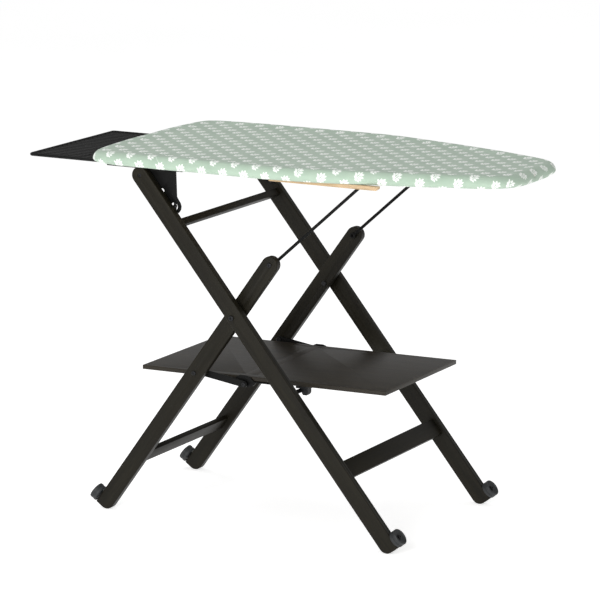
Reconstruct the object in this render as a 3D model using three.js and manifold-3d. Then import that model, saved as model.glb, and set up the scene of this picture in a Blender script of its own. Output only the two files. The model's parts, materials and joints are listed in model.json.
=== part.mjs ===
// Folding wooden ironing board with a shelf, four wheels and a sliding wire iron rest.
// Millimetres, +Z up, +X towards the nose of the board. The model is symmetric about Y = 0.
import * as THREE from 'three';
import { mergeVertices } from 'three/addons/utils/BufferGeometryUtils.js';
import Module from 'manifold-3d';

const wasm = await Module();
wasm.setup();

// ---- driving dimensions -------------------------------------------------------------------
const X_SHIFT = 9.5; // puts the middle of the overall length at X = 0
const GAP = 0.3; // gap between touching pieces
const LEG_W = 40, LEG_R = LEG_W / 2; // leg section in the side view
const OUT_Y0 = 241, OUT_Y1 = 260; // outer legs, across the object
const IN_Y0 = 205.6, IN_Y1 = 224.6; // inner legs
const P = [-284.0, 812.1]; // board pivot, at the top of the outer legs
const DA = [0.62857, -0.77776], NA = [0.77776, 0.62857]; // outer leg direction (down) and upper normal
const A_FOOT = 1038.4;
const C = [-44.02, 515.11]; // reference point on the inner legs' centre line
const DB = [-0.57952, -0.81496], NB = [0.81496, -0.57952]; // inner leg direction (down) and lower-right normal
const B_TOP = -137, B_FOOT = 627.5;
const SCISSOR = [-43.2, 502.2];
const STRUT_LOW = [35.4, 626.8], STRUT_TOP = [256, 826];
const STRUT_R = 3.75, STRUT_Y = 199.8;
const SHELF_PIVOT = [-160.2, 354.1]; // strap pivot on the inner legs
const SHELF_PIN = [-41.5, 336.8]; // strap pivot on the shelf
const REST_ROD = [97, 334], REST_ROD_R = 5;
const SHELF = { x0: -316.7, x1: 315.8, y: 189.7, top: 349.9, slope: 0.011, t: 9.8 };
const BOARD_Z0 = 833.9, BOARD_Z1 = 861, UNDER = BOARD_Z0 - GAP;
const CORE_Z = 848, COVER_T = 1.7, HEM_W = 34;
const OUTLINE = [[-422, 0], [-423, 60], [-422, 120], [-420, 180], [-417, 225], [-411, 252], [-400, 271], [-383, 282], [-355, 287], [-320, 288.3], [-290, 288.2], [-200, 288.5], [-50, 288.5], [40, 288], [100, 285], [150, 276.5], [200, 263.5], [260, 248.5], [323, 231], [400, 207], [450, 190.5], [500, 173.5], [542, 158], [565, 146], [584, 128], [596, 105], [601.5, 75], [602, 35], [602, 0]];
const WHEEL_R = 20, WHEEL_W = 17, WHEEL_OFF = 22.5, BOLT_R = 3, HOLE_R = 3.4;
const IRON_REST = { x0: -621, x1: -366, y: 192, z: 825, r: 4, wire: 2, wires: 18 };
const CHAMFER = 1.2;

// ---- materials ----------------------------------------------------------------------------
const mat = (color, roughness, metalness = 0) => new THREE.MeshStandardMaterial({ color, roughness, metalness });
const WOOD = mat(0x2b2a22, 0.5), TAN = mat(0xb99466, 0.6), STEEL = mat(0x17171a, 0.45, 0.6), PLASTIC = mat(0x1d1d1e, 0.5);
const WHEEL = mat(0x3b3d3f, 0.55), CORE = mat(0x8d8f8c, 0.7), FOAM = mat(0xd8d4c6, 0.9), COVER = mat(0xa9bcae, 0.9);

// ---- solids -------------------------------------------------------------------------------
// A closed geometry with shared vertices and outward faces.
function closed(geometry) {
  let g = geometry.clone();
  for (const name of Object.keys(g.attributes)) if (name !== 'position') g.deleteAttribute(name);
  g = mergeVertices(g, 1e-4);
  const p = g.attributes.position, idx = Array.from(g.index.array), keep = [];
  let vol = 0;
  const a = new THREE.Vector3(), b = new THREE.Vector3(), c = new THREE.Vector3();
  for (let i = 0; i < idx.length; i += 3) {
    if (idx[i] === idx[i + 1] || idx[i + 1] === idx[i + 2] || idx[i] === idx[i + 2]) continue;
    keep.push(idx[i], idx[i + 1], idx[i + 2]);
    a.fromBufferAttribute(p, idx[i]); b.fromBufferAttribute(p, idx[i + 1]); c.fromBufferAttribute(p, idx[i + 2]);
    vol += a.dot(b.cross(c));
  }
  if (vol < 0) for (let i = 0; i < keep.length; i += 3) [keep[i], keep[i + 1]] = [keep[i + 1], keep[i]];
  g.setIndex(keep);
  return g;
}
function toSolid(geometry) {
  const g = closed(geometry);
  return new wasm.Manifold(new wasm.Mesh({ numProp: 3, vertProperties: new Float32Array(g.attributes.position.array), triVerts: new Uint32Array(g.index.array) }));
}
function fromSolid(solid) {
  const m = solid.getMesh(), g = new THREE.BufferGeometry(), n = m.numProp, v = new Float32Array((m.vertProperties.length / n) * 3);
  for (let i = 0; i < v.length / 3; i++) for (let k = 0; k < 3; k++) v[i * 3 + k] = m.vertProperties[i * n + k];
  g.setAttribute('position', new THREE.BufferAttribute(v, 3));
  g.setIndex(Array.from(m.triVerts));
  return closed(g);
}
const cut = (body, ...tools) => fromSolid(tools.reduce((s, t) => s.subtract(toSolid(t)), toSolid(body)));
const join = (body, ...more) => fromSolid(more.reduce((s, t) => s.add(toSolid(t)), toSolid(body)));

function shapeOf(points, holes = []) {
  const s = new THREE.Shape(points.map(q => new THREE.Vector2(q[0], q[1])));
  for (const h of holes) s.holes.push(new THREE.Path(h.map(q => new THREE.Vector2(q[0], q[1]))));
  return s;
}
function extrude(points, depth, chamfer = 0, holes = []) {
  const g = new THREE.ExtrudeGeometry(shapeOf(points, holes), { depth: depth - 2 * chamfer, steps: 1, bevelEnabled: chamfer > 0, bevelThickness: chamfer, bevelSize: chamfer, bevelOffset: -chamfer, bevelSegments: 1, curveSegments: 1 });
  g.translate(0, 0, chamfer);
  return g;
}
// Outline in X, Z extruded across the object from y0 to y1.
function across(points, y0, y1, chamfer = 0, holes = []) {
  const g = extrude(points, y1 - y0, chamfer, holes);
  g.rotateX(Math.PI / 2); // (x, z, depth) -> (x, -depth, z)
  g.translate(0, y1, 0);
  return closed(g);
}
// Outline in X, Y extruded upwards from z0 to z1.
function upward(points, z0, z1, chamfer = 0) {
  const g = extrude(points, z1 - z0, chamfer);
  g.translate(0, 0, z0);
  return closed(g);
}
function disc(centre, r, y0, y1, n = 16) { // cylinder across the object
  const g = new THREE.CylinderGeometry(r, r, y1 - y0, n);
  g.translate(centre[0], (y0 + y1) / 2, centre[1]);
  return closed(g);
}
function rodBetween(a, b, r, n = 12) {
  const from = new THREE.Vector3(...a), to = new THREE.Vector3(...b), d = to.clone().sub(from);
  const g = new THREE.CylinderGeometry(r, r, d.length(), n);
  g.applyQuaternion(new THREE.Quaternion().setFromUnitVectors(new THREE.Vector3(0, 1, 0), d.clone().normalize()));
  g.translate((from.x + to.x) / 2, (from.y + to.y) / 2, (from.z + to.z) / 2);
  return closed(g);
}
// Profile of (radius, along) turned about an axis that starts at a point.
function turned(profile, origin, axis, n = 10) {
  const g = new THREE.LatheGeometry(profile.map(q => new THREE.Vector2(q[0], q[1])), n);
  g.applyQuaternion(new THREE.Quaternion().setFromUnitVectors(new THREE.Vector3(0, 1, 0), new THREE.Vector3(...axis).normalize()));
  g.translate(...origin);
  return closed(g);
}
const box = (x0, x1, y0, y1, z0, z1) => { const g = new THREE.BoxGeometry(x1 - x0, y1 - y0, z1 - z0); g.translate((x0 + x1) / 2, (y0 + y1) / 2, (z0 + z1) / 2); return closed(g); };
const mirrored = g => { const m = g.clone(); m.scale(1, -1, 1); return closed(m); };

const arc = (cx, cy, r, degrees) => degrees.map(d => [cx + r * Math.cos(d * Math.PI / 180), cy + r * Math.sin(d * Math.PI / 180)]);
const steps = (from, to, n) => Array.from({ length: n + 1 }, (_, i) => from + (to - from) * i / n);
const local = (o, d, n) => ([s, t]) => [o[0] + s * d[0] + t * n[0], o[1] + s * d[1] + t * n[1]];
const toA = local(P, DA, NA), toB = local(C, DB, NB);

const group = new THREE.Group();
group.position.x = X_SHIFT;
function add(name, geometry, material, parent = group) {
  const m = new THREE.Mesh(geometry, material);
  m.name = name;
  parent.add(m);
}
function pair(name, geometry, material, parent) { // built on the +Y side; near is -Y
  add(name + '_far', geometry, material, parent);
  add(name + '_near', mirrored(geometry), material, parent);
}

// ---- outer frame --------------------------------------------------------------------------
const frameA = new THREE.Group(); group.add(frameA);
const legA = [[0, LEG_R], [A_FOOT, LEG_R], ...arc(A_FOOT - LEG_R, 0, LEG_R, [0, -13, -26, -38.943, -56, -73, -90]), ...arc(0, 0, LEG_R, steps(-90, -270, 12)).slice(0, -1)].map(toA);
const axleHole = (map, dir, s, side) => { // hole in a leg's edge for the wheel's axle
  const a = map([s, side * (LEG_R + 2)]), b = map([s, side * -5]), y = dir === 'A' ? (OUT_Y0 + OUT_Y1) / 2 : (IN_Y0 + IN_Y1) / 2;
  return rodBetween([a[0], y, a[1]], [b[0], y, b[1]], HOLE_R, 12);
};
const A_AXLE = A_FOOT - 18, B_AXLE = B_FOOT - 18;
pair('outer_leg', cut(across(legA, OUT_Y0, OUT_Y1, CHAMFER), disc(P, HOLE_R, OUT_Y0 - 1, OUT_Y1 + 1), disc(P, 4.8, OUT_Y1 - 3.2, OUT_Y1 + 1), disc(SCISSOR, HOLE_R, OUT_Y0 - 1, OUT_Y1 + 1), axleHole(toA, 'A', A_AXLE, 1)), WOOD, frameA);
const barY = OUT_Y0 - GAP;
add('upper_crossbar', across([[133, -6], [149, -6], [149, 12], [133, 12]].map(toA), -barY, barY, 2), WOOD, frameA);
add('lower_outer_crossbar', across([[804, -3], [847, -3], [847, 12.5], [804, 12.5]].map(toA), -barY, barY, 1.5), WOOD, frameA);
add('shelf_rest_rod', disc(REST_ROD, REST_ROD_R, -barY, barY, 16), STEEL, frameA);
pair('board_pivot_bolt', turned([[0, 229], [5.5, 229], [6.2, 230], [6.2, 234.2], [BOLT_R, 234.2], [BOLT_R, 257.1], [4.3, 257.1], [4.3, 259], [0, 259]], [P[0], 0, P[1]], [0, 1, 0]), STEEL, frameA);
pair('scissor_bolt', turned([[0, 202], [5.5, 202], [6.2, 203], [6.2, 205.3], [BOLT_R, 205.3], [BOLT_R, 260.3], [6.4, 260.3], [6.4, 262], [5.2, 263.2], [2.2, 263.2], [2.2, 261.6], [0, 261.6]], [SCISSOR[0], 0, SCISSOR[1]], [0, 1, 0]), STEEL, frameA);
pair('scissor_spacer', turned([[HOLE_R, 224.9], [9, 224.9], [9, 240.7], [HOLE_R, 240.7], [HOLE_R, 224.9]], [SCISSOR[0], 0, SCISSOR[1]], [0, 1, 0]), PLASTIC, frameA);

// ---- wheels and axles ---------------------------------------------------------------------
const axleProfile = [[0, -4], [BOLT_R, -4], [BOLT_R, LEG_R + GAP], [7, LEG_R + GAP], [7, WHEEL_OFF - GAP], [BOLT_R, WHEEL_OFF - GAP], [BOLT_R, WHEEL_OFF + 12.8], [6, WHEEL_OFF + 12.8], [6, WHEEL_OFF + 15], [4.6, WHEEL_OFF + 16.2], [0, WHEEL_OFF + 16.2]];
const wheelProfile = [[3.1, 0.1], [9, 0.1], [10, 1.6], [16, 1.6], [18.4, 0], [WHEEL_R, 2.2], [WHEEL_R, 7], [18.9, 7.7], [18.9, 9.3], [WHEEL_R, 10], [WHEEL_R, 14.8], [18.4, WHEEL_W], [16.4, WHEEL_W], [15.2, 13.4], [10.6, 13.4], [9.6, 12.4], [3.1, 12.4], [3.1, 0.1]];
for (const [tag, map, s, n, side, y] of [['outer', toA, A_AXLE, NA, 1, (OUT_Y0 + OUT_Y1) / 2], ['inner', toB, B_AXLE, NB, -1, (IN_Y0 + IN_Y1) / 2]]) {
  const o = map([s, 0]), axis = [n[0] * side, 0, n[1] * side], w = map([s, side * WHEEL_OFF]);
  pair(tag + '_axle', turned(axleProfile, [o[0], y, o[1]], axis, 10), STEEL);
  pair(tag + '_wheel', turned(wheelProfile, [w[0], y, w[1]], axis, 16), WHEEL);
}

// ---- inner frame --------------------------------------------------------------------------
const frameB = new THREE.Group(); group.add(frameB);
const legB = [[B_TOP, -LEG_R], [B_FOOT, -LEG_R], ...arc(B_FOOT - LEG_R, 0, LEG_R, [0, 12, 24, 35.417, 53, 71, 90]), ...arc(B_TOP, 0, LEG_R, steps(90, 270, 12)).slice(0, -1)].map(toB);
pair('inner_leg', cut(across(legB, IN_Y0, IN_Y1, CHAMFER), ...[SCISSOR, STRUT_LOW, SHELF_PIVOT].map(c => disc(c, HOLE_R, IN_Y0 - 1, IN_Y1 + 1)), axleHole(toB, 'B', B_AXLE, -1)), WOOD, frameB);
add('inner_crossbar', across([[455, -6], [491, -6], [491, 6], [455, 6]].map(toB), -(IN_Y0 - GAP), IN_Y0 - GAP, 1.5), WOOD, frameB);
pair('strut_bolt', turned([[0, 204.2], [BOLT_R, 204.2], [BOLT_R, 224.9], [5.6, 224.9], [5.6, 226.4], [4.2, 227.4], [0, 227.4]], [STRUT_LOW[0], 0, STRUT_LOW[1]], [0, 1, 0]), STEEL, frameB);
pair('shelf_pivot_bolt', turned([[0, 193.4], [4.8, 193.4], [5.6, 194.2], [5.6, 197.2], [BOLT_R, 197.2], [BOLT_R, 224.9], [5.6, 224.9], [5.6, 226.4], [4.2, 227.4], [0, 227.4]], [SHELF_PIVOT[0], 0, SHELF_PIVOT[1]], [0, 1, 0]), STEEL, frameB);

// ---- board --------------------------------------------------------------------------------
const board = new THREE.Group(); group.add(board);
const whole = [...OUTLINE, ...OUTLINE.slice(1, -1).reverse().map(([x, y]) => [x, -y])];
function inset(points, d) { // the outline is convex, so each corner moves in along its bisector
  return points.map((q, i) => {
    const a = points[(i + points.length - 1) % points.length], b = points[(i + 1) % points.length];
    const e1 = new THREE.Vector2(q[0] - a[0], q[1] - a[1]).normalize(), e2 = new THREE.Vector2(b[0] - q[0], b[1] - q[1]).normalize();
    const m = new THREE.Vector2(-(e1.y + e2.y), e1.x + e2.x).normalize(), cosHalf = Math.max(0.5, Math.sqrt((1 + e1.dot(e2)) / 2));
    return [q[0] - m.x * -inSign * d / cosHalf, q[1] - m.y * -inSign * d / cosHalf];
  });
}
const area = whole.reduce((s, q, i) => { const b = whole[(i + 1) % whole.length]; return s + q[0] * b[1] - b[0] * q[1]; }, 0);
const inSign = Math.sign(area);
const innerLine = inset(whole, COVER_T + GAP), coreLine = inset(whole, 9), cavityLine = inset(whole, COVER_T), hemLine = inset(whole, HEM_W), plateauLine = inset(whole, HEM_W + GAP);
add('board_core', join(upward(coreLine, BOARD_Z0 + COVER_T + GAP, CORE_Z), upward(plateauLine, BOARD_Z0, CORE_Z - 2)), CORE, board);
add('board_pad', upward(innerLine, CORE_Z + GAP, BOARD_Z1 - COVER_T - GAP), FOAM, board);
add('board_cover', cut(upward(whole, BOARD_Z0, BOARD_Z1, 0), upward(cavityLine, BOARD_Z0 + COVER_T, BOARD_Z1 - COVER_T), upward(hemLine, BOARD_Z0 - 1, BOARD_Z0 + COVER_T + 1)), COVER, board);
pair('batten', across([[40, UNDER - 9.8], [43, UNDER], [315, UNDER], [315, UNDER - 6], [309, UNDER - 9.8]], 227, 239.5, 0.8), TAN, board);
const lobe = [-204.6, 743.1];
const plate = [...arc(P[0], P[1], 18, [215, 190, 165, 145]), [-300, UNDER], [-180.5, UNDER], [-180.5, 827], [-200.6, 824.5], [-198.3, 765.8], ...arc(lobe[0], lobe[1], 18, [28, 5, -20, -45, -70, -95, -120, -145, -165])];
pair('hinge_bracket', cut(join(across(plate, 234.5, 238), box(-300, -180.5, 224, 236, UNDER - 2.6, UNDER)), disc(P, HOLE_R, 233, 239), disc([-236.5, 777], 6, 233, 239), disc(lobe, 9.5, 233, 239, 20)), STEEL, board);
pair('lock_pin', join(turned([[0, 229.6], [3.4, 229.6], [4.2, 230.4], [4.2, 239.6], [3.4, 240.4], [0, 240.4]], [lobe[0], 0, lobe[1]], [0, 1, 0], 14), box(lobe[0] - 3.2, lobe[0] + 3.2, 231.6, 234.2, lobe[1] - 13, lobe[1] + 13)), STEEL, board);
pair('strut_pin', turned([[0, 192.6], [4.6, 192.6], [5.4, 193.4], [5.4, 195.6], [BOLT_R, 195.6], [BOLT_R, 204.2], [3.6, 204.2], [3.6, 226.7], [0, 226.7]], [STRUT_TOP[0], 0, STRUT_TOP[1]], [0, 1, 0]), STEEL, board);
const guideSection = [[187, 819], [209, 819], [209, UNDER], [196.8, UNDER], [196.8, 820.6], [187, 820.6]];
{
  const g = extrude(guideSection, 200); // section in Y, Z along the board
  g.applyMatrix4(new THREE.Matrix4().makeBasis(new THREE.Vector3(0, 1, 0), new THREE.Vector3(0, 0, 1), new THREE.Vector3(1, 0, 0)));
  g.translate(-400, 0, 0);
  pair('rest_guide', closed(g), STEEL, board);
}

// ---- iron rest: a welded wire tray on two rails ---------------------------------------------
{
  const { x0, x1, y, z, r, wire, wires } = IRON_REST, pieces = [];
  pieces.push(rodBetween([x0 + r, -y, z], [x1, -y, z], r, 8), rodBetween([x0 + r, y, z], [x1, y, z], r, 8));
  pieces.push(rodBetween([x0 + r, -y - 3.9, z], [x0 + r, y + 3.9, z], r, 8), rodBetween([x1 - 14, -y, z], [x1 - 14, y, z], 3, 8), rodBetween([x0 + 128, -y, z - 1.5], [x0 + 128, y, z - 1.5], 2, 6));
  for (let i = 1; i <= wires; i++) { const w = -y + 2 * y * i / (wires + 1); pieces.push(rodBetween([x0 + r, w, z + 1], [x1 - 14, w, z + 1], wire, 4)); }
  add('iron_rest', join(...pieces), STEEL, board);
}

// ---- struts ---------------------------------------------------------------------------------
{
  const body = join(rodBetween([STRUT_LOW[0], STRUT_Y, STRUT_LOW[1]], [STRUT_TOP[0], STRUT_Y, STRUT_TOP[1]], STRUT_R, 12), disc(STRUT_LOW, 7, STRUT_Y - 3, STRUT_Y + 3), disc(STRUT_TOP, 7, STRUT_Y - 3, STRUT_Y + 3));
  pair('strut', cut(body, disc(STRUT_LOW, HOLE_R, 190, 210), disc(STRUT_TOP, HOLE_R, 190, 210)), STEEL);
}

// ---- shelf ----------------------------------------------------------------------------------
const shelfGroup = new THREE.Group(); group.add(shelfGroup);
const shelfTop = x => SHELF.top + SHELF.slope * (x - SHELF.x0), shelfLow = x => shelfTop(x) - SHELF.t;
{
  const outline = [[SHELF.x0, shelfLow(SHELF.x0)], [SHELF.x1, shelfLow(SHELF.x1)], [SHELF.x1, shelfTop(SHELF.x1)], [SHELF.x0, shelfTop(SHELF.x0)]];
  const screws = [[-61, 165, 'rear'], [-30, 164, 'front']]; // heads sit flush in counterbores
  const bores = screws.flatMap(([x, y]) => [y, -y].map(v => turned([[0, -2.5], [4.9, -2.5], [4.9, 1], [0, 1]], [x, v, shelfTop(x)], [0, 0.0001, 1], 12)));
  add('shelf_panel', cut(across(outline, -SHELF.y, SHELF.y, 0.8), ...bores), WOOD, shelfGroup);
  const d = new THREE.Vector2(SHELF_PIN[0] - SHELF_PIVOT[0], SHELF_PIN[1] - SHELF_PIVOT[1]), angle = Math.atan2(d.y, d.x) * 180 / Math.PI;
  const strap = [...arc(SHELF_PIN[0], SHELF_PIN[1], 8, steps(angle - 90, angle + 90, 8)), ...arc(SHELF_PIVOT[0], SHELF_PIVOT[1], 8, steps(angle + 90, angle + 270, 8))];
  pair('shelf_strap', cut(across(strap, 197.5, 202.5, 0.5), disc(SHELF_PIN, HOLE_R, 196, 204), disc(SHELF_PIVOT, HOLE_R, 196, 204)), STEEL, shelfGroup);
  const low = x => shelfLow(x) - GAP;
  const lug = [[-70, low(-70) - 2.5], [-62, 330.5], [-50, 328.3], [-33, 328.3], [-22, 332], [-14, low(-14) - 2.5], [34, low(34) - 2.5], [34, low(34)], [-20, low(-20)], [-30, 353], [-38, 355.5], [-56, 355.5], [-64, 352], [-70, 344]];
  pair('shelf_bracket', cut(join(across(lug, 190.2, 194, 0), across([[-70, low(-70) - 2.5], [34, low(34) - 2.5], [34, low(34)], [-70, low(-70)]], 150, 191, 0)), disc(SHELF_PIN, HOLE_R, 189, 196)), STEEL, shelfGroup);
  pair('shelf_strap_pin', turned([[0, 190.4], [BOLT_R, 190.4], [BOLT_R, 194.3], [5, 194.3], [5, 197.2], [BOLT_R, 197.2], [BOLT_R, 202.8], [5, 202.8], [5, 204.2], [4, 205], [0, 205]], [SHELF_PIN[0], 0, SHELF_PIN[1]], [0, 1, 0]), STEEL, shelfGroup);
  const rr = REST_ROD_R + 0.6, rx = REST_ROD[0], rz = REST_ROD[1];
  const saddle = [[rx - 10, low(rx - 10)], [rx - 10, rz + rr], ...arc(rx, rz, rr, [90, 67, 45, 22, 0]), [rx + rr, 329], [rx + 9, 325], [rx + 18, 325], [rx + 22, 330], [rx + 22, low(rx + 22)]];
  pair('shelf_catch', across(saddle, 172, 189.4, 0.4), PLASTIC, shelfGroup);
  for (const [x, y, tag] of screws) pair('shelf_screw_' + tag, turned([[0, -2.1], [3.4, -2.1], [4.3, -1.2], [4.3, -0.15], [0, -0.15]], [x, y, shelfTop(x)], [0, 0.0001, 1], 10), STEEL, shelfGroup);
}

export default group;
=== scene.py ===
import json
import math

import bmesh
import bpy
from mathutils import Matrix, Quaternion, Vector, noise

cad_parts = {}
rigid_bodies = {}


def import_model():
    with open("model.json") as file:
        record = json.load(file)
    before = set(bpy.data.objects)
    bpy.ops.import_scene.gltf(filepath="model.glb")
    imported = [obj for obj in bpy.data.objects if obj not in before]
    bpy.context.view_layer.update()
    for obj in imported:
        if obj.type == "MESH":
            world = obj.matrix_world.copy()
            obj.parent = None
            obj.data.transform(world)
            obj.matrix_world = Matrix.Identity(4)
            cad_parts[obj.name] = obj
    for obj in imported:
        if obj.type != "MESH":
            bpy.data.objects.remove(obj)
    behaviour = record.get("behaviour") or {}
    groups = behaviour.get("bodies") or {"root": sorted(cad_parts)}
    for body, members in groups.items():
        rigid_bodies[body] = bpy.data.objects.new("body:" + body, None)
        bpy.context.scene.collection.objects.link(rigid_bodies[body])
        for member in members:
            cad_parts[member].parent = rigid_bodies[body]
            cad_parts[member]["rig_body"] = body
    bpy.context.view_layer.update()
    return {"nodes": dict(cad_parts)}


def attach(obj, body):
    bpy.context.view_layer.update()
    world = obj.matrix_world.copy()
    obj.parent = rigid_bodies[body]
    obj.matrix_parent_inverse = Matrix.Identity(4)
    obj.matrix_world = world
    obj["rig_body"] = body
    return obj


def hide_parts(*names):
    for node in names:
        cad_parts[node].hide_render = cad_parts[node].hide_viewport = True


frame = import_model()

MM = 0.001
SHIFT = 9.5 * MM
scene = bpy.context.scene
scene.view_settings.view_transform = "Standard"

# ---------------------------------------------------------------- camera
az, el, roll = math.radians(27.368), math.radians(11.614), math.radians(0.406)
fwd = Vector((-math.sin(az) * math.cos(el), math.cos(az) * math.cos(el), -math.sin(el)))
right = Vector((math.cos(az), math.sin(az), 0))
up = right.cross(fwd)
r2 = math.cos(roll) * right + math.sin(roll) * up
u2 = -math.sin(roll) * right + math.cos(roll) * up
cam = bpy.data.objects.new("camera", bpy.data.cameras.new("camera"))
scene.collection.objects.link(cam)
m = Matrix((r2, u2, -fwd)).transposed().to_4x4()
m.translation = Vector((3.7974 + SHIFT, -7.3386, 2.2009))
cam.matrix_world = m
cam.data.sensor_width = 36.0
cam.data.lens = 216.6
cam.data.clip_end = 200
scene.camera = cam


# ---------------------------------------------------------------- node helpers
def new_material(name):
    mat = bpy.data.materials.new(name)
    mat.use_nodes = True
    nt = mat.node_tree
    bsdf = nt.nodes["Principled BSDF"]
    return mat, nt, bsdf


def node(nt, kind, inputs=None, **props):
    n = nt.nodes.new(kind)
    for k, v in props.items():
        setattr(n, k, v)
    for k, v in (inputs or {}).items():
        if isinstance(v, bpy.types.NodeSocket):
            nt.links.new(v, n.inputs[k])
        else:
            n.inputs[k].default_value = v
    return n


def math_node(nt, op, a, b=None, c=None, clamp=False):
    n = nt.nodes.new("ShaderNodeMath")
    n.operation = op
    n.use_clamp = clamp
    for i, v in enumerate((a, b, c)):
        if v is None:
            continue
        if isinstance(v, bpy.types.NodeSocket):
            nt.links.new(v, n.inputs[i])
        else:
            n.inputs[i].default_value = v
    return n.outputs[0]


def ramp(nt, fac, stops):
    n = nt.nodes.new("ShaderNodeValToRGB")
    nt.links.new(fac, n.inputs[0])
    cr = n.color_ramp
    while len(cr.elements) < len(stops):
        cr.elements.new(0.5)
    for e, (p, c) in zip(cr.elements, stops):
        e.position = p
        e.color = (*c, 1)
    return n.outputs[0]


def mix_color(nt, fac, a, b, blend="MIX"):
    n = nt.nodes.new("ShaderNodeMix")
    n.data_type = "RGBA"
    n.blend_type = blend
    for sock, v in ((n.inputs[0], fac), (n.inputs[6], a), (n.inputs[7], b)):
        if isinstance(v, bpy.types.NodeSocket):
            nt.links.new(v, sock)
        else:
            sock.default_value = v if not isinstance(v, tuple) or len(v) == 4 else (*v, 1)
    return n.outputs[2]


def bump(nt, height, strength, distance, normal=None):
    n = nt.nodes.new("ShaderNodeBump")
    n.inputs["Strength"].default_value = strength
    n.inputs["Distance"].default_value = distance
    nt.links.new(height, n.inputs["Height"])
    if normal is not None:
        nt.links.new(normal, n.inputs["Normal"])
    return n.outputs[0]


def object_coords(nt):
    return nt.nodes.new("ShaderNodeTexCoord").outputs["Object"]


def stretched(nt, along, across, k_along, k_across, offset=0.0):
    """Object coordinates turned so that the first axis runs along the grain."""
    p = object_coords(nt)
    a = Vector(along).normalized()
    b = Vector(across).normalized()
    c = a.cross(b)
    outs = []
    for v, k in ((a, k_along), (b, k_across), (c, k_across)):
        d = node(nt, "ShaderNodeVectorMath", {0: p}, operation="DOT_PRODUCT")
        d.inputs[1].default_value = v
        outs.append(math_node(nt, "MULTIPLY_ADD", d.outputs["Value"], k, offset))
    comb = node(nt, "ShaderNodeCombineXYZ", {0: outs[0], 1: outs[1], 2: outs[2]})
    return comb.outputs[0]


def wood_material(name, along, across, dark, light, rough=0.42, fine=1.0, offset=0.0, specular=0.4, wear=0.25):
    mat, nt, bsdf = new_material(name)
    big = node(nt, "ShaderNodeTexNoise", {"Vector": stretched(nt, along, across, 3.0, 38.0, offset), "Scale": 1.0, "Detail": 5.0, "Roughness": 0.6, "Distortion": 0.35}).outputs[0]
    pores = node(nt, "ShaderNodeTexNoise", {"Vector": stretched(nt, along, across, 22.0, 620.0 * fine, offset), "Scale": 1.0, "Detail": 3.0, "Roughness": 0.65}).outputs[0]
    cloud = node(nt, "ShaderNodeTexNoise", {"Vector": object_coords(nt), "Scale": 7.0, "Detail": 3.0}).outputs[0]
    base = ramp(nt, big, [(0.28, dark), (0.5, tuple((a + b) / 2 for a, b in zip(dark, light))), (0.72, light)])
    streak = ramp(nt, pores, [(0.36, (0.45, 0.45, 0.45)), (0.52, (1, 1, 1))])
    col = mix_color(nt, 0.75, base, streak, "MULTIPLY")
    col = mix_color(nt, math_node(nt, "MULTIPLY", cloud, 0.35), col, light)
    bev = node(nt, "ShaderNodeNewGeometry").outputs["Pointiness"]
    edge = math_node(nt, "MULTIPLY", math_node(nt, "SMOOTH_MAX", math_node(nt, "SUBTRACT", bev, 0.53), 0.0, 0.01), 3.0, clamp=True)
    col = mix_color(nt, math_node(nt, "MULTIPLY", edge, wear, clamp=True), col, tuple(min(1, c * 2.3) for c in light))
    nt.links.new(col, bsdf.inputs["Base Color"])
    nt.links.new(math_node(nt, "MULTIPLY_ADD", pores, 0.22, rough - 0.11), bsdf.inputs["Roughness"])
    bsdf.inputs["Specular IOR Level"].default_value = specular
    nt.links.new(bump(nt, pores, 0.35, 0.0004, bump(nt, big, 0.15, 0.0008)), bsdf.inputs["Normal"])
    return mat


def painted_material(name, color, rough=0.42, grain=900.0, metallic=0.0, wear=(0.2, 0.2, 0.2), specular=0.5, strength=0.25):
    mat, nt, bsdf = new_material(name)
    p = object_coords(nt)
    fine = node(nt, "ShaderNodeTexNoise", {"Vector": p, "Scale": grain, "Detail": 2.0}).outputs[0]
    cloud = node(nt, "ShaderNodeTexNoise", {"Vector": p, "Scale": 18.0, "Detail": 4.0}).outputs[0]
    bright = tuple(min(1, c * 1.7 + 0.004) for c in color)
    col = mix_color(nt, math_node(nt, "MULTIPLY", cloud, 0.6), color, bright)
    pt = node(nt, "ShaderNodeNewGeometry").outputs["Pointiness"]
    edge = math_node(nt, "MULTIPLY", math_node(nt, "SUBTRACT", pt, 0.55), 4.0, clamp=True)
    col = mix_color(nt, math_node(nt, "MULTIPLY", edge, 0.35, clamp=True), col, wear)
    nt.links.new(col, bsdf.inputs["Base Color"])
    nt.links.new(math_node(nt, "MULTIPLY_ADD", cloud, 0.18, rough - 0.09), bsdf.inputs["Roughness"])
    bsdf.inputs["Metallic"].default_value = metallic
    bsdf.inputs["Specular IOR Level"].default_value = specular
    nt.links.new(bump(nt, fine, strength, 0.0002), bsdf.inputs["Normal"])
    return mat


# ---------------------------------------------------------------- the printed cover
LEAVES = [  # centre x, y, half length, half width (mm), turn (degrees): one feathery sprig
    (0.5, 0.5, 12.5, 1.05, 68), (-6.2, 1.8, 5.8, 2.85, 112), (-2.2, 7.6, 5.2, 2.55, 98), (3.4, 9.8, 4.4, 2.25, 60),
    (6.0, 5.4, 5.4, 2.70, 26), (6.9, -0.8, 5.2, 2.62, 6), (4.4, -6.4, 4.6, 2.40, -26), (-5.6, -4.4, 5.4, 2.70, 144), (-3.2, -9.6, 4.2, 2.17, 162),
    (-8.8, 5.6, 3.6, 1.80, 124), (1.6, -10.6, 3.8, 1.80, -46),
]
PITCH_U, PITCH_V = 0.0540, 0.0290


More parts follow.
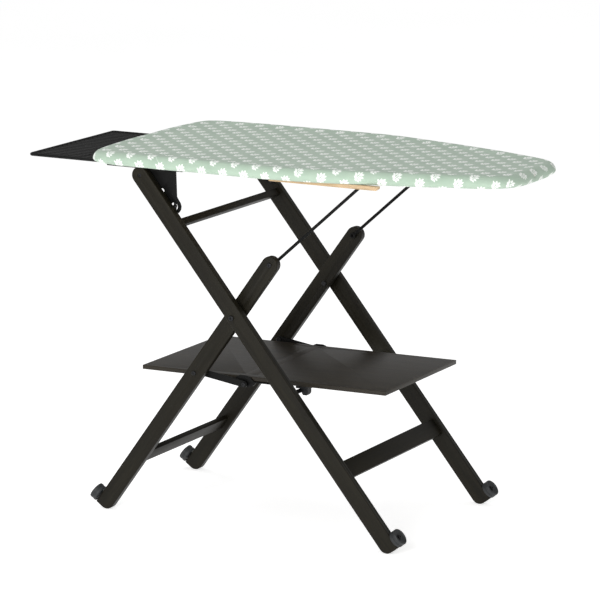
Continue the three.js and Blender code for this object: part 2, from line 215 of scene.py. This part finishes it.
def cover_material():
    mat, nt, bsdf = new_material("cover_print")
    uv = node(nt, "ShaderNodeUVMap", uv_map="flat").outputs[0]
    wob = node(nt, "ShaderNodeTexNoise", {"Vector": uv, "Scale": 9.0, "Detail": 1.0}).outputs["Color"]
    wob = node(nt, "ShaderNodeVectorMath", {0: wob, 1: (0.5, 0.5, 0.5)}, operation="SUBTRACT").outputs[0]
    wob = node(nt, "ShaderNodeVectorMath", {0: wob, "Scale": 0.005}, operation="SCALE").outputs[0]
    q = node(nt, "ShaderNodeVectorMath", {0: uv, 1: wob}, operation="ADD").outputs[0]
    sep = node(nt, "ShaderNodeSeparateXYZ", {0: q})
    v = math_node(nt, "DIVIDE", sep.outputs[1], PITCH_V)
    row = math_node(nt, "FLOOR", v)
    odd = math_node(nt, "FLOORED_MODULO", row, 2.0)
    u = math_node(nt, "ADD", math_node(nt, "DIVIDE", sep.outputs[0], PITCH_U), math_node(nt, "MULTIPLY", odd, 0.5))
    lx = math_node(nt, "MULTIPLY", math_node(nt, "SUBTRACT", math_node(nt, "FRACT", u), 0.5), PITCH_U * 1000)
    ly = math_node(nt, "MULTIPLY", math_node(nt, "SUBTRACT", math_node(nt, "FRACT", v), 0.5), PITCH_V * 1000)
    cell = node(nt, "ShaderNodeCombineXYZ", {0: math_node(nt, "FLOOR", u), 1: row})
    rnd = node(nt, "ShaderNodeTexWhiteNoise", {"Vector": cell.outputs[0]}, noise_dimensions="3D").outputs["Value"]
    best = None
    for cx, cy, a, b, turn in LEAVES:
        c, s = math.cos(math.radians(turn)), math.sin(math.radians(turn))
        dx, dy = math_node(nt, "SUBTRACT", lx, cx), math_node(nt, "SUBTRACT", ly, cy)
        x = math_node(nt, "ADD", math_node(nt, "MULTIPLY", dx, c / a), math_node(nt, "MULTIPLY", dy, s / a))
        y = math_node(nt, "SUBTRACT", math_node(nt, "MULTIPLY", dy, c / b), math_node(nt, "MULTIPLY", dx, s / b))
        d = math_node(nt, "ADD", math_node(nt, "POWER", math_node(nt, "ABSOLUTE", x), 1.6), math_node(nt, "POWER", math_node(nt, "ABSOLUTE", y), 1.6))
        best = d if best is None else math_node(nt, "MINIMUM", best, d)
    feather = node(nt, "ShaderNodeTexNoise", {"Vector": uv, "Scale": 620.0, "Detail": 2.0}).outputs[0]
    edge = math_node(nt, "ADD", best, math_node(nt, "MULTIPLY_ADD", feather, 0.9, -0.45))
    leaf = math_node(nt, "SUBTRACT", 1.0, math_node(nt, "MULTIPLY", math_node(nt, "SUBTRACT", edge, 0.78), 2.4, clamp=True), clamp=True)
    # faint tendrils between the sprigs
    wave = node(nt, "ShaderNodeTexWave", {"Vector": uv, "Scale": 3.1, "Distortion": 9.0, "Detail": 1.0, "Detail Scale": 2.2}, wave_type="BANDS", bands_direction="DIAGONAL").outputs["Fac"]
    line = math_node(nt, "MULTIPLY", math_node(nt, "SUBTRACT", wave, 0.996), 260.0, clamp=True)
    gate = node(nt, "ShaderNodeTexNoise", {"Vector": uv, "Scale": 11.0}).outputs[0]
    tendril = math_node(nt, "MULTIPLY", line, math_node(nt, "MULTIPLY", math_node(nt, "SUBTRACT", gate, 0.56), 12.0, clamp=True))
    # yarns
    warp = node(nt, "ShaderNodeTexWave", {"Vector": uv, "Scale": 330.0, "Distortion": 0.6, "Detail": 1.0}, wave_type="BANDS", bands_direction="X").outputs["Fac"]
    weft = node(nt, "ShaderNodeTexWave", {"Vector": uv, "Scale": 330.0, "Distortion": 0.6, "Detail": 1.0}, wave_type="BANDS", bands_direction="Y").outputs["Fac"]
    weave = math_node(nt, "MULTIPLY", warp, weft)
    cloud = node(nt, "ShaderNodeTexNoise", {"Vector": uv, "Scale": 14.0, "Detail": 5.0, "Roughness": 0.6}).outputs[0]
    slub = node(nt, "ShaderNodeTexNoise", {"Vector": node(nt, "ShaderNodeMapping", {0: uv, "Scale": (18.0, 420.0, 1.0)}).outputs[0], "Scale": 1.0, "Detail": 2.0}).outputs[0]
    ground = ramp(nt, cloud, [(0.3, (0.335, 0.445, 0.345)), (0.7, (0.415, 0.530, 0.420))])
    ground = mix_color(nt, math_node(nt, "MULTIPLY", slub, 0.25), ground, (0.50, 0.58, 0.52))
    ground = mix_color(nt, math_node(nt, "MULTIPLY", weave, 0.22), ground, (0.30, 0.38, 0.32))
    white = mix_color(nt, math_node(nt, "MULTIPLY", weave, 0.12), (0.90, 0.93, 0.89), (0.70, 0.76, 0.71))
    amount = math_node(nt, "MULTIPLY", leaf, math_node(nt, "MULTIPLY_ADD", rnd, 0.12, 0.86))
    col = mix_color(nt, math_node(nt, "MAXIMUM", amount, math_node(nt, "MULTIPLY", tendril, 0.35)), ground, white)
    nt.links.new(col, bsdf.inputs["Base Color"])
    bsdf.inputs["Roughness"].default_value = 0.86
    bsdf.inputs["Specular IOR Level"].default_value = 0.25
    bsdf.inputs["Sheen Weight"].default_value = 0.25
    bsdf.inputs["Sheen Roughness"].default_value = 0.5
    n1 = bump(nt, cloud, 0.12, 0.002)
    nt.links.new(bump(nt, math_node(nt, "ADD", weave, math_node(nt, "MULTIPLY", leaf, 0.35)), 0.35, 0.00025, n1), bsdf.inputs["Normal"])
    return mat


def felt_material(name, low, high):
    mat, nt, bsdf = new_material(name)
    p = object_coords(nt)
    fibre = node(nt, "ShaderNodeTexNoise", {"Vector": p, "Scale": 480.0, "Detail": 4.0, "Distortion": 1.5}).outputs[0]
    nt.links.new(ramp(nt, fibre, [(0.3, low), (0.7, high)]), bsdf.inputs["Base Color"])
    bsdf.inputs["Roughness"].default_value = 0.95
    bsdf.inputs["Sheen Weight"].default_value = 0.3
    nt.links.new(bump(nt, fibre, 0.6, 0.0006), bsdf.inputs["Normal"])
    return mat


DA, NA = Vector((0.62857, 0, -0.77776)), Vector((0.77776, 0, 0.62857))
DB, NB = Vector((-0.57952, 0, -0.81496)), Vector((0.81496, 0, -0.57952))
Y = Vector((0, 1, 0))
DARK, LIGHT = (0.0048, 0.0041, 0.0022), (0.0130, 0.0110, 0.0060)
MATS = {
    "leg_a": wood_material("stained_leg_outer", DA, Y, DARK, LIGHT, 0.45, offset=0.0, specular=0.16),
    "leg_b": wood_material("stained_leg_inner", DB, Y, DARK, LIGHT, 0.45, offset=3.7, specular=0.16),
    "bar": wood_material("stained_bar", Y, DA, DARK, LIGHT, 0.45, offset=9.1, specular=0.12),
    "shelf": wood_material("stained_shelf", (1, 0, 0.011), Y, (0.014, 0.0115, 0.0078), (0.031, 0.0255, 0.0175), 0.42, fine=0.8, offset=5.3, specular=0.22),
    "tan": wood_material("beech", (1, 0, 0), Y, (0.44, 0.29, 0.15), (0.62, 0.45, 0.27), 0.5, offset=2.2, wear=0.1),
    "core": wood_material("raw_board", (1, 0, 0), Y, (0.34, 0.28, 0.20), (0.46, 0.39, 0.30), 0.65, offset=1.1, wear=0.05),
    "black": painted_material("black_powder_coat", (0.003, 0.003, 0.0029), 0.42, specular=0.1, wear=(0.08, 0.08, 0.08)),
    "fastener": painted_material("black_oxide", (0.010, 0.010, 0.011), 0.36, grain=600.0, metallic=0.4, wear=(0.10, 0.10, 0.10), specular=0.3),
    "plastic": painted_material("moulded_black", (0.009, 0.009, 0.0094), 0.5, grain=1500.0, specular=0.25),
    "wheel": painted_material("wheel_grey", (0.021, 0.0225, 0.0235), 0.5, grain=1200.0, wear=(0.08, 0.085, 0.09), specular=0.3),
    "cover": cover_material(),
    "felt": felt_material("felt", (0.62, 0.59, 0.52), (0.82, 0.80, 0.74)),
    "cord": felt_material("hem_cord", (0.42, 0.50, 0.44), (0.60, 0.67, 0.62)),
}


# ---------------------------------------------------------------- mesh helpers
def make_object(name, verts, faces, mat, smooth=35.0):
    me = bpy.data.meshes.new(name)
    me.from_pydata([tuple(v) for v in verts], [], faces)
    me.validate()
    o = bpy.data.objects.new(name, me)
    scene.collection.objects.link(o)
    me.materials.append(mat)
    bm = bmesh.new()
    bm.from_mesh(me)
    bmesh.ops.recalc_face_normals(bm, faces=bm.faces)
    bm.to_mesh(me)
    bm.free()
    me.shade_smooth()
    if smooth < 180:
        me.set_sharp_from_angle(angle=math.radians(smooth))
    return o


def lathe(name, profile, origin, axis, mat, n=72, smooth=32.0):
    """Profile of (radius, along) in mm turned about an axis. It starts and ends on the axis or closes on itself."""
    axis = Vector(axis).normalized()
    q = Vector((0, 0, 1)).rotation_difference(axis)
    origin = Vector(origin)
    ring = profile[0] == profile[-1]
    pts = profile[:-1] if ring else profile
    verts, index = [], []
    for r, a in pts:
        if r < 1e-6:
            index.append([len(verts)])
            verts.append(origin + q @ Vector((0, 0, a * MM)))
        else:
            index.append(list(range(len(verts), len(verts) + n)))
            for k in range(n):
                t = 2 * math.pi * k / n
                verts.append(origin + q @ Vector((r * MM * math.cos(t), r * MM * math.sin(t), a * MM)))
    faces = []
    pairs = list(zip(index, index[1:])) + ([(index[-1], index[0])] if ring else [])
    for a, b in pairs:
        for k in range(n):
            k2 = (k + 1) % n
            if len(a) == 1 and len(b) == 1:
                continue
            if len(a) == 1:
                faces.append((a[0], b[k], b[k2]))
            elif len(b) == 1:
                faces.append((a[k], a[k2], b[0]))
            else:
                faces.append((a[k], a[k2], b[k2], b[k]))
    return make_object(name, verts, faces, mat, smooth)


def body_of_node(name):
    return frame["nodes"][name]["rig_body"]


def refine(cad_name, mat, width=0.6, segments=3):
    """A finished copy of a hard CAD piece: merged faces, rounded edges, smooth normals."""
    src = frame["nodes"][cad_name]
    me = src.data.copy()
    o = bpy.data.objects.new(cad_name + "_finished", me)
    scene.collection.objects.link(o)
    bm = bmesh.new()
    bm.from_mesh(me)
    bmesh.ops.remove_doubles(bm, verts=bm.verts, dist=2e-6)
    bmesh.ops.dissolve_limit(bm, angle_limit=math.radians(0.6), verts=bm.verts, edges=bm.edges)
    bm.to_mesh(me)
    bm.free()
    if width > 0:
        b = o.modifiers.new("round", "BEVEL")
        b.width = width * MM
        b.segments = segments
        b.limit_method = "ANGLE"
        b.angle_limit = math.radians(43)
        b.use_clamp_overlap = True
        b.miter_outer = "MITER_ARC"
        bpy.context.view_layer.update()
        new = bpy.data.meshes.new_from_object(o.evaluated_get(bpy.context.evaluated_depsgraph_get()))
        o.modifiers.clear()
        o.data = new
    for a in list(o.data.attributes):
        if a.name.startswith("custom_normal"):
            o.data.attributes.remove(a)
    o.data.materials.clear()
    o.data.materials.append(mat)
    for p in o.data.polygons:
        p.material_index = 0
    o.data.shade_smooth()
    o.data.set_sharp_from_angle(angle=math.radians(43))
    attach(o, body_of_node(cad_name))
    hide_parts(cad_name)
    return o


# ---------------------------------------------------------------- the padded board
OUTLINE = [(-422, 0), (-423, 60), (-422, 120), (-420, 180), (-417, 225), (-411, 252), (-400, 271), (-383, 282), (-355, 287), (-320, 288.3), (-290, 288.2), (-200, 288.5), (-50, 288.5), (40, 288), (100, 285), (150, 276.5), (200, 263.5), (260, 248.5), (323, 231), (400, 207), (450, 190.5), (500, 173.5), (542, 158), (565, 146), (584, 128), (596, 105), (601.5, 75), (602, 35), (602, 0)]


def smooth_outline(n):
    pts = [Vector(p) for p in OUTLINE] + [Vector((x, -y)) for x, y in OUTLINE[-2:0:-1]]
    dense = []
    for i in range(len(pts)):
        p0, p1, p2, p3 = pts[i - 1], pts[i], pts[(i + 1) % len(pts)], pts[(i + 2) % len(pts)]
        t1, t2 = (p2 - p0).length, (p3 - p1).length
        seg = (p2 - p1).length
        m1, m2 = (p2 - p0) / t1 * seg, (p3 - p1) / t2 * seg
        for k in range(24):
            t = k / 24
            dense.append((2 * t**3 - 3 * t * t + 1) * p1 + (t**3 - 2 * t * t + t) * m1 + (3 * t * t - 2 * t**3) * p2 + (t**3 - t * t) * m2)
    lens = [0.0]
    for i in range(len(dense)):
        lens.append(lens[-1] + (dense[(i + 1) % len(dense)] - dense[i]).length)
    total, out, j = lens[-1], [], 0
    for k in range(n):
        s = total * k / n
        while lens[j + 1] < s:
            j += 1
        f = (s - lens[j]) / (lens[j + 1] - lens[j])
        out.append(dense[j].lerp(dense[(j + 1) % len(dense)], f))
    normals = []
    for k in range(n):
        t = out[(k + 1) % n] - out[k - 1]
        normal = Vector((t.y, -t.x)).normalized()
        if normal.dot(out[k] - Vector((60, 0))) < 0:
            normal = -normal
        normals.append(normal)
    return out, normals, total


# inset from the outline and height, from the top round the edge to the gathered hem
EDGE = [(30, 860.9), (24, 860.7), (18.5, 860.2), (14, 859.2), (10, 857.5), (6.6, 855.1), (3.9, 852.2), (1.9, 849.0), (0.6, 845.6), (0.1, 842.4), (0.9, 839.4), (2.9, 836.9), (6.0, 835.1), (10, 834.3), (15, 834.1), (21, 834.05), (27, 834.05), (33, 834.1)]
TOP_RINGS = 30


def shell(name, n, inset, drop, mat, closed_bottom=False, edge=EDGE, floor_z=None, wrinkle=True):
    """The skin of the board: flat rings on the top, the rolled edge and the hem. UVs are the flat cloth in metres."""
    out, nor, total = smooth_outline(n)
    verts, uvs, rows = [], [], []
    first = edge[0][0] + inset
    rim = [o - k * first for o, k in zip(out, nor)]
    centre = Vector((60, 0))
    verts.append(Vector((centre.x, centre.y, 861.0 - drop)))
    uvs.append(centre.copy())
    for j in range(1, TOP_RINGS):
        t = 1 - (1 - j / TOP_RINGS) ** 1.15
        row = []
        for i in range(n):
            p = centre.lerp(rim[i], t)
            row.append(len(verts))
            w = 0.35 * noise.noise(Vector((p.x / 90, p.y / 90, 3.1))) if wrinkle else 0
            verts.append(Vector((p.x, p.y, 860.95 - drop + w * (1 - t * 0.4) * 0.8)))
            uvs.append(p)
        rows.append(row)
    run = 0.0
    prev = None
    for e, (ins, z) in enumerate(edge):
        z = z - drop if z > 848 else (z if floor_z is None else max(z, floor_z))
        if prev is not None:
            run += math.hypot(ins - prev[0], z - prev[1])
        prev = (ins, z)
        row = []
        for i in range(n):
            s = total * i / n
            amp = max(0.0, min(1.0, (e - 6) / 7.0)) if wrinkle else 0
            pucker = noise.noise(Vector((s / 9.0, e * 0.25, 1.7))) + 0.6 * noise.noise(Vector((s / 23.0, e * 0.2, 8.3)))
            wave = noise.noise(Vector((s / 70.0, 0.0, 5.5)))
            d = ins + inset
            lift = 0.0
            if ins < 12:
                d += amp * (0.55 * pucker + 0.5 * wave)
                lift = amp * 1.0 * wave
            else:
                lift = abs(pucker) * 0.9 * amp
                d += 2.2 * pucker * max(0, (ins - 21) / 12.0) if wrinkle else 0
            p = out[i] - nor[i] * d
            row.append(len(verts))
            verts.append(Vector((p.x, p.y, z + lift)))
            uvs.append(out[i] - nor[i] * (edge[0][0] - run + inset))
        rows.append(row)
    if closed_bottom:
        last = rows[-1]
        verts.append(Vector((centre.x, centre.y, verts[last[0]].z)))
        uvs.append(centre.copy())
    faces = [(0, rows[0][i], rows[0][(i + 1) % n]) for i in range(n)]
    for a, b in zip(rows, rows[1:]):
        for i in range(n):
            faces.append((a[i], b[i], b[(i + 1) % n], a[(i + 1) % n]))
    if closed_bottom:
        c = len(verts) - 1
        faces += [(rows[-1][i], c, rows[-1][(i + 1) % n]) for i in range(n)]
    verts = [Vector((v.x * MM + SHIFT, v.y * MM, v.z * MM)) for v in verts]
    o = make_object(name, verts, faces, mat, 180)
    layer = o.data.uv_layers.new(name="flat")
    for loop in o.data.loops:
        layer.data[loop.index].uv = uvs[loop.vertex_index] * MM
    return o, rows


N_COVER = 600
cover, rows = shell("cover_fabric", N_COVER, 0.0, 0.0, MATS["cover"])
if cover.data.polygons[len(cover.data.polygons) // 3].normal.z < 0:
    cover.data.flip_normals()

rest = [v.co.copy() for v in cover.data.vertices]
pins = cover.vertex_groups.new(name="pins")
weights = {0: 1.0}
for j, row in enumerate(rows):
    if j < TOP_RINGS - 1:
        w = 1.0 if j < TOP_RINGS - 6 else 1.0 - 0.16 * (j - (TOP_RINGS - 7))
    else:
        e = j - (TOP_RINGS - 1)
        w = 0.0 if e < 13 else (0.35 if e < 15 else 1.0)
    for i in row:
        weights[i] = max(0.0, w)
for i, w in weights.items():
    pins.add([i], w, "REPLACE")
cloth = cover.modifiers.new("cloth", "CLOTH")
st = cloth.settings
st.quality = 4
st.mass = 0.25
st.tension_stiffness = st.compression_stiffness = 18
st.shear_stiffness = 8
st.bending_stiffness = 0.4
st.use_pressure = True
st.uniform_pressure_force = 4.0
st.vertex_group_mass = "pins"
st.effector_weights.gravity = 0.0
cloth.collision_settings.use_collision = False
cloth.point_cache.frame_start, cloth.point_cache.frame_end = 1, 12
for f in range(1, 13):
    scene.frame_set(f)
ev = cover.evaluated_get(bpy.context.evaluated_depsgraph_get())
moved = [v.co.copy() for v in ev.data.vertices]
cover.modifiers.clear()
scene.frame_set(1)
for v, a, b in zip(cover.data.vertices, rest, moved):
    d = b - a
    if d.length > 0.005:
        d = d.normalized() * 0.005
    p = a + d
    p.z = max(min(p.z, 0.8635), 0.83395)
    v.co = p
cover.data.update()
cover.vertex_groups.clear()

solid = cover.modifiers.new("thickness", "SOLIDIFY")
solid.thickness = 0.0009
solid.offset = -1.0
bpy.context.view_layer.update()
thick = bpy.data.meshes.new_from_object(cover.evaluated_get(bpy.context.evaluated_depsgraph_get()))
cover.modifiers.clear()
cover.data = thick
cover.data.shade_smooth()
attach(cover, "board")
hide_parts("board_cover")

PAD_EDGE = [(30, 859.4), (20, 859.2), (13, 858.4), (8.5, 856.9), (5.6, 854.6), (4.2, 852.0), (3.8, 849.6), (4.6, 848.6), (9, 848.4), (20, 848.4)]
pad, _ = shell("felt_pad", 220, 0.6, 1.2, MATS["felt"], closed_bottom=True, edge=PAD_EDGE, wrinkle=False)
for v in pad.data.vertices:
    v.co.z = max(v.co.z, 0.8484)
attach(pad, "board")
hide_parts("board_pad")

# elastic cord sewn into the hem
out, nor, total = smooth_outline(300)
cd = bpy.data.curves.new("hem_elastic", "CURVE")
cd.dimensions = "3D"
cd.bevel_depth = 0.0013
cd.bevel_resolution = 3
sp = cd.splines.new("POLY")
sp.points.add(len(out) - 1)
for i, (o_, k_) in enumerate(zip(out, nor)):
    s = total * i / len(out)
    q = o_ - k_ * (33.4 + 1.2 * noise.noise(Vector((s / 9.0, 17 * 0.25, 1.7))))
    sp.points[i].co = (q.x * MM + SHIFT, q.y * MM, 0.8355 + 0.0003 * noise.noise(Vector((s / 15.0, 2, 2))), 1)
sp.use_cyclic_u = True
tmp = bpy.data.objects.new("tmp_elastic", cd)
scene.collection.objects.link(tmp)
bpy.context.view_layer.update()
elastic_mesh = bpy.data.meshes.new_from_object(tmp.evaluated_get(bpy.context.evaluated_depsgraph_get()))
bpy.data.objects.remove(tmp)
elastic = bpy.data.objects.new("hem_elastic", elastic_mesh)
scene.collection.objects.link(elastic)
elastic_mesh.materials.clear()
elastic_mesh.materials.append(MATS["cord"])
elastic_mesh.shade_smooth()
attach(elastic, "board")

# ---------------------------------------------------------------- hard pieces
for side in ("near", "far"):
    refine(f"outer_leg_{side}", MATS["leg_a"], 0.7)
    refine(f"inner_leg_{side}", MATS["leg_b"], 0.7)
    refine(f"batten_{side}", MATS["tan"], 0.5)
    for n_, w_ in (("hinge_bracket", 0.4), ("rest_guide", 0.4), ("strut", 0.4), ("shelf_strap", 0.35), ("shelf_bracket", 0.4)):
        refine(f"{n_}_{side}", MATS["black"], w_)
    for n_ in ("shelf_catch", "scissor_spacer"):
        refine(f"{n_}_{side}", MATS["plastic"], 0.5)
for n_ in ("upper_crossbar", "lower_outer_crossbar", "inner_crossbar"):
    refine(n_, MATS["bar"], 0.8)
refine("shelf_panel", MATS["shelf"], 0.5)
refine("board_core", MATS["core"], 0.0)


def at(x, z, y=0.0):
    return Vector((x * MM + SHIFT, y * MM, z * MM))


P, SC, TL, TU, SP, KP = (-284.0, 812.1), (-43.2, 502.2), (35.4, 626.8), (256, 826), (-160.2, 354.1), (-41.5, 336.8)
LOBE, ROD = (-204.6, 743.1), (97, 334)
rod = lathe("shelf_rest_rod_finished", [(0, -240.6), (4.4, -240.6), (5, -240.0), (5, 240.0), (4.4, 240.6), (0, 240.6)], at(*ROD), Y, MATS["black"], 40)
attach(rod, "outer_frame"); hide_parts("shelf_rest_rod")


def fastener(cad, profile, centre, body, mat="fastener", n=48):
    for side, sign in (("near", -1), ("far", 1)):
        o = lathe(f"{cad}_{side}_finished", profile, at(*centre), Vector((0, sign, 0)), MATS[mat], n)
        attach(o, body)
        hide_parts(f"{cad}_{side}")


fastener("scissor_bolt", [(0, 202), (5.2, 202), (6.2, 203), (6.2, 205.2), (3, 205.3), (3, 260.3), (6.4, 260.3), (6.5, 260.8), (6.3, 262), (5.6, 262.9), (4.6, 263.2), (2.6, 263.2), (2.4, 262.9), (2.4, 261.0), (0, 261.0)], SC, "outer_frame")
fastener("board_pivot_bolt", [(0, 229), (5.4, 229), (6.2, 229.9), (6.2, 234.2), (3, 234.2), (3, 257.1), (4.3, 257.1), (4.3, 258.6), (3.9, 259), (2.2, 259), (2.0, 258.7), (2.0, 257.6), (0, 257.6)], P, "outer_frame")
fastener("strut_bolt", [(0, 204.2), (3, 204.2), (3, 224.9), (5.6, 224.9), (5.6, 226.0), (4.9, 227.1), (3.9, 227.4), (2.3, 227.4), (2.1, 227.1), (2.1, 225.8), (0, 225.8)], TL, "inner_frame")
fastener("shelf_pivot_bolt", [(0, 193.4), (4.8, 193.4), (5.6, 194.2), (5.6, 197.2), (3, 197.2), (3, 224.9), (5.6, 224.9), (5.6, 226.0), (4.9, 227.1), (3.9, 227.4), (2.3, 227.4), (2.1, 227.1), (2.1, 225.8), (0, 225.8)], SP, "inner_frame")
for side in ("near", "far"):
    refine(f"lock_pin_{side}", MATS["fastener"], 0.35)
fastener("strut_pin", [(0, 192.6), (4.6, 192.6), (5.4, 193.4), (5.4, 195.6), (3, 195.6), (3, 204.2), (3.6, 204.2), (3.6, 226.2), (3.1, 226.7), (0, 226.7)], TU, "board")
fastener("shelf_strap_pin", [(0, 190.4), (3, 190.4), (3, 194.3), (5, 194.3), (5, 197.2), (3, 197.2), (3, 202.8), (5, 202.8), (5, 204.1), (4.2, 205), (2.2, 205), (2.0, 204.6), (2.0, 203.8), (0, 203.8)], KP, "shelf")
for tag, x, y in (("rear", -61, 165), ("front", -30, 164)):
    for side, sign in (("near", -1), ("far", 1)):
        z = 349.9 + 0.011 * (x + 316.7)
        o = lathe(f"shelf_screw_{tag}_{side}_finished", [(0, -2.1), (3.4, -2.1), (4.3, -1.2), (4.3, -0.4), (4.05, -0.15), (1.5, -0.15), (1.3, -0.35), (1.3, -1.2), (0, -1.2)], at(x, z, sign * y), Vector((0, 0, 1)), MATS["fastener"], 36)
        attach(o, "shelf"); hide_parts(f"shelf_screw_{tag}_{side}")

# wheels: a moulded tyre with a groove, a dished web and a dark cap screw
WHEEL = [(3.1, 0.1), (8.6, 0.1), (9.4, 0.6), (10.2, 1.8), (15.6, 1.8), (16.6, 0.9), (17.6, 0.2), (18.6, 0.1), (19.5, 0.7), (19.95, 1.8), (20, 3.2), (20, 6.8), (19.7, 7.2), (18.9, 7.6), (18.8, 8.5), (18.9, 9.4), (19.7, 9.8), (20, 10.2), (20, 13.8), (19.95, 15.2), (19.5, 16.3), (18.6, 16.9), (17.6, 17.0), (16.6, 16.7), (15.9, 15.8), (15.4, 14.2), (14.6, 13.5), (11.2, 13.4), (10.2, 13.0), (9.4, 12.5), (3.1, 12.4), (3.1, 0.1)]
AXLE = [(0, -4), (3, -4), (3, 20.3), (7, 20.3), (7, 22.2), (3, 22.2), (3, 35.3), (6, 35.3), (6.1, 35.8), (6.0, 37.5), (5.4, 38.3), (4.6, 38.7), (2.8, 38.7), (2.6, 38.4), (2.6, 36.4), (0, 36.4)]
for tag, o0, d, n, s, sgn, y in (("outer", P, DA, NA, 1020.4, 1, 250.5), ("inner", (-44.02, 515.11), DB, NB, 609.5, -1, 215.1)):
    c = Vector((o0[0], 0, o0[1])) + d * s
    for side, sign in (("near", -1), ("far", 1)):
        axis = n * sgn
        org = at(c.x, c.z, sign * y)
        ax = lathe(f"{tag}_axle_{side}_finished", AXLE, org, axis, MATS["fastener"], 48)
        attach(ax, f"{tag}_frame"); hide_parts(f"{tag}_axle_{side}")
        wh = lathe(f"{tag}_wheel_{side}_finished", WHEEL, org + axis * 22.5 * MM, axis, MATS["wheel"], 96)
        bm = bmesh.new()  # fine ribs in the tread
        bm.from_mesh(wh.data)
        for v in bm.verts:
            rel = v.co - org
            a = rel.dot(axis) / MM - 22.5
            rad = (rel - axis * rel.dot(axis))
            r = rad.length / MM
            if r > 19.9 and (3 < a < 7 or 10 < a < 14):
                ang = math.atan2(rad.dot(Y), rad.dot(axis.cross(Y)))
                k = 0.5 + 0.5 * math.cos(ang * 24)
                v.co -= rad.normalized() * 0.5 * MM * (1 if k < 0.3 else 0)
        bm.to_mesh(wh.data)
        bm.free()
        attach(wh, f"wheel_{tag}_{side}"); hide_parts(f"{tag}_wheel_{side}")

# the iron rest: a bent rod frame with welded wires
X0, X1, YR, ZR = -621, -366, 192, 825
N_WIRES = 18


def bent(points, corner, steps=8):
    res = [points[0]]
    for a, b, c in zip(points, points[1:], points[2:]):
        u, w = (a - b).normalized(), (c - b).normalized()
        for k in range(steps + 1):
            t = k / steps
            res.append((b + u * corner) * (1 - t) ** 2 + b * 2 * t * (1 - t) + (b + w * corner) * t * t)
    res.append(points[-1])
    return res


def wire_mesh(name, lines, mat):
    obs = []
    for pts, radius in lines:
        cu = bpy.data.curves.new("w", "CURVE")
        cu.dimensions = "3D"
        cu.bevel_depth = radius * MM
        cu.bevel_resolution = 3
        cu.use_fill_caps = True
        s = cu.splines.new("POLY")
        s.points.add(len(pts) - 1)
        for i, p in enumerate(pts):
            s.points[i].co = (*at(p.x, p.z, p.y), 1)
        ob = bpy.data.objects.new("w", cu)
        scene.collection.objects.link(ob)
        obs.append(ob)
    bpy.context.view_layer.update()
    dg = bpy.context.evaluated_depsgraph_get()
    bm = bmesh.new()
    for ob in obs:
        me = bpy.data.meshes.new_from_object(ob.evaluated_get(dg))
        bm.from_mesh(me)
        bpy.data.meshes.remove(me)
    for ob in obs:
        bpy.data.objects.remove(ob)
    bmesh.ops.remove_doubles(bm, verts=bm.verts, dist=1e-6)
    me = bpy.data.meshes.new(name)
    bm.to_mesh(me)
    bm.free()
    o = bpy.data.objects.new(name, me)
    scene.collection.objects.link(o)
    me.materials.append(mat)
    me.shade_smooth()
    me.set_sharp_from_angle(angle=math.radians(50))
    return o


V = Vector
lines = [(bent([V((X1, -YR, ZR)), V((X0 + 4, -YR, ZR)), V((X0 + 4, YR, ZR)), V((X1, YR, ZR))], 7), 4.0),
         ([V((X1 - 14, -YR, ZR)), V((X1 - 14, YR, ZR))], 3.0), ([V((X0 + 128, -YR, ZR - 1.5)), V((X0 + 128, YR, ZR - 1.5))], 2.0)]
for i in range(1, N_WIRES + 1):
    w = -YR + 2 * YR * i / (N_WIRES + 1)
    lines.append(([V((X0 + 4, w, ZR + 1)), V((X1 - 14, w, ZR + 1))], 2.0))
tray = wire_mesh("iron_rest_finished", lines, MATS["black"])
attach(tray, "iron_rest_tray"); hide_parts("iron_rest")

# ---------------------------------------------------------------- floor and light
fm, nt, bsdf = new_material("floor_paper")
sp_ = node(nt, "ShaderNodeTexNoise", {"Vector": object_coords(nt), "Scale": 0.8, "Detail": 2.0}).outputs[0]
nt.links.new(ramp(nt, sp_, [(0.3, (0.90, 0.90, 0.90)), (0.7, (0.92, 0.92, 0.92))]), bsdf.inputs["Base Color"])
bsdf.inputs["Roughness"].default_value = 0.8
bsdf.inputs["Specular IOR Level"].default_value = 0.0
bsdf.inputs["Emission Color"].default_value = (1, 1, 1, 1)
bsdf.inputs["Emission Strength"].default_value = 0.58
floor = make_object("floor", [(-60, -60, 0), (60, -60, 0), (60, 60, 0), (-60, 60, 0)], [(0, 1, 2, 3)], fm)
floor.location.z = -0.0006

world = bpy.data.worlds.new("studio")
scene.world = world
world.use_nodes = True
world.node_tree.nodes["Background"].inputs[0].default_value = (1, 1, 1, 1)
world.node_tree.nodes["Background"].inputs[1].default_value = 0.45


def area(name, pos, target, size, energy, color=(1, 1, 1)):
    l = bpy.data.lights.new(name, "AREA")
    l.shape = "SQUARE"
    l.size = size
    l.energy = energy
    l.color = color
    o = bpy.data.objects.new(name, l)
    scene.collection.objects.link(o)
    o.location = pos
    o.rotation_euler = (Vector(target) - Vector(pos)).to_track_quat("-Z", "Y").to_euler()
    return o


area("key", (0.4, -4.6, 1.8), (0, 0, 0.6), 2.2, 135)
area("top", (-1.2, 0.6, 3.6), (0, 0, 0.5), 2.4, 22)
area("fill", (3.4, -2.0, 1.6), (0, 0, 0.5), 2.0, 10)
